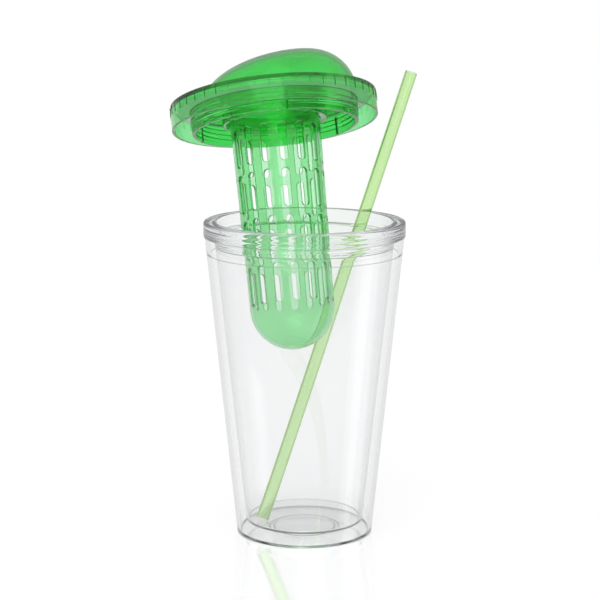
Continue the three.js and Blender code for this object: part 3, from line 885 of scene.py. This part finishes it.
studio = {
    "floorSize": 4.0, "floorDrop": 0.0002, "floorMatt": 0.12, "floorGloss": 0.9, "floorRoughness": 0.11,
    "floorFill": 0.45, "floorGlow": 0.38, "floorMirrored": 0.5,
    "worldFill": 0.85, "worldGlow": 1.0, "worldMirrored": 0.55,
    "sunStrength": 0.5, "sunTilt": 14.0, "sunSide": -30.0, "sunSpread": 35.0,
    "bounces": 36, "clearBounces": 32, "glossBounces": 12}
sideLight = {"place": (1.1, -0.1, 0.5), "target": (0, 0, 0.16), "size": (0.6, 1.0), "power": 1.2, "mirrored": True}
frontLight = {
    "place": (-0.3, -1.3, 1.5), "target": (0, 0, 0.15), "size": (1.4, 1.0), "power": 15.0, "mirrored": False}
viewer = {
    "place": (-0.00224, -0.86126, 0.28044), "downTilt": 10.685, "lens": 105.57, "sensor": 36.0,
    "near": 0.01, "far": 100.0}


def seenStrength(tree, fill, white, share):
    # white to the eye and through clear plastic, dimmer wherever a surface has mirrored it, fill for the rest
    path = tree.nodes.new("ShaderNodeLightPath")
    seen = mathOf(tree, "MAXIMUM", path.outputs["Is Camera Ray"], path.outputs["Is Glossy Ray"])
    seen = mathOf(tree, "MAXIMUM", seen, path.outputs["Is Transmission Ray"])
    mirrored = mathOf(tree, "MINIMUM", path.outputs["Glossy Depth"], 1.0)
    drop = mathOf(tree, "MULTIPLY", mirrored, white * (1 - share))
    level = mathOf(tree, "SUBTRACT", white - fill, drop)
    return mathOf(tree, "ADD", mathOf(tree, "MULTIPLY", seen, level), fill)


def whiteFloor():
    mesh = bpy.data.meshes.new("floor")
    size, level = studio["floorSize"], -studio["floorDrop"]
    corners = [(-size, -size, level), (size, -size, level), (size, size, level), (-size, size, level)]
    mesh.from_pydata(corners, [], [(0, 1, 2, 3)])
    floor = placedObject("floor", mesh)
    material = bpy.data.materials.new("floor_white")
    material.use_nodes = True
    tree = material.node_tree
    tree.nodes.remove(tree.nodes["Principled BSDF"])
    matt = tree.nodes.new("ShaderNodeBsdfDiffuse")
    matt.inputs["Color"].default_value = (studio["floorMatt"],) * 3 + (1,)
    shine = tree.nodes.new("ShaderNodeBsdfGlossy")
    shine.inputs["Color"].default_value = (studio["floorGloss"],) * 3 + (1,)
    shine.inputs["Roughness"].default_value = studio["floorRoughness"]
    glow = tree.nodes.new("ShaderNodeEmission")
    strength = seenStrength(tree, studio["floorFill"], studio["floorGlow"], studio["floorMirrored"])
    tree.links.new(strength, glow.inputs["Strength"])
    both = tree.nodes.new("ShaderNodeAddShader")
    tree.links.new(matt.outputs[0], both.inputs[0])
    tree.links.new(shine.outputs[0], both.inputs[1])
    allThree = tree.nodes.new("ShaderNodeAddShader")
    tree.links.new(both.outputs[0], allThree.inputs[0])
    tree.links.new(glow.outputs[0], allThree.inputs[1])
    tree.links.new(allThree.outputs[0], tree.nodes["Material Output"].inputs["Surface"])
    mesh.materials.append(material)


def whiteWorld():
    world = bpy.data.worlds.new("studio_white")
    scene.world = world
    world.use_nodes = True
    tree = world.node_tree
    back = tree.nodes["Background"]
    back.inputs["Color"].default_value = (1, 1, 1, 1)
    strength = seenStrength(tree, studio["worldFill"], studio["worldGlow"], studio["worldMirrored"])
    tree.links.new(strength, back.inputs["Strength"])


def softbox(name, light):
    # seen either in reflections or through clear plastic, never in both
    lamp = bpy.data.lights.new(name, "AREA")
    lamp.shape = "RECTANGLE"
    lamp.size, lamp.size_y = light["size"]
    lamp.energy = light["power"]
    obj = bpy.data.objects.new(name, lamp)
    obj.location = light["place"]
    aim = Vector(light["target"]) - Vector(light["place"])
    obj.rotation_euler = aim.to_track_quat("-Z", "Y").to_euler()
    obj.visible_glossy = light["mirrored"]
    obj.visible_transmission = not light["mirrored"]
    scene.collection.objects.link(obj)


def softSun():
    lamp = bpy.data.lights.new("sun", "SUN")
    lamp.energy = studio["sunStrength"]
    lamp.angle = math.radians(studio["sunSpread"])
    obj = bpy.data.objects.new("sun", lamp)
    obj.visible_glossy = False
    obj.rotation_euler = (math.radians(studio["sunTilt"]), 0, math.radians(studio["sunSide"]))
    scene.collection.objects.link(obj)


def photoCamera():
    camera = bpy.data.cameras.new("camera")
    camera.lens, camera.sensor_width = viewer["lens"], viewer["sensor"]
    camera.clip_start, camera.clip_end = viewer["near"], viewer["far"]
    obj = bpy.data.objects.new("camera", camera)
    obj.location = viewer["place"]
    obj.rotation_euler = (math.radians(90 - viewer["downTilt"]), 0, 0)
    scene.collection.objects.link(obj)
    scene.camera = obj


whiteFloor()
whiteWorld()
softSun()
softbox("side_light", sideLight)
softbox("front_light", frontLight)
photoCamera()
scene.view_settings.view_transform = "Standard"
scene.cycles.max_bounces = studio["bounces"]
scene.cycles.transmission_bounces = studio["clearBounces"]
scene.cycles.glossy_bounces = studio["glossBounces"]
print("studio done")
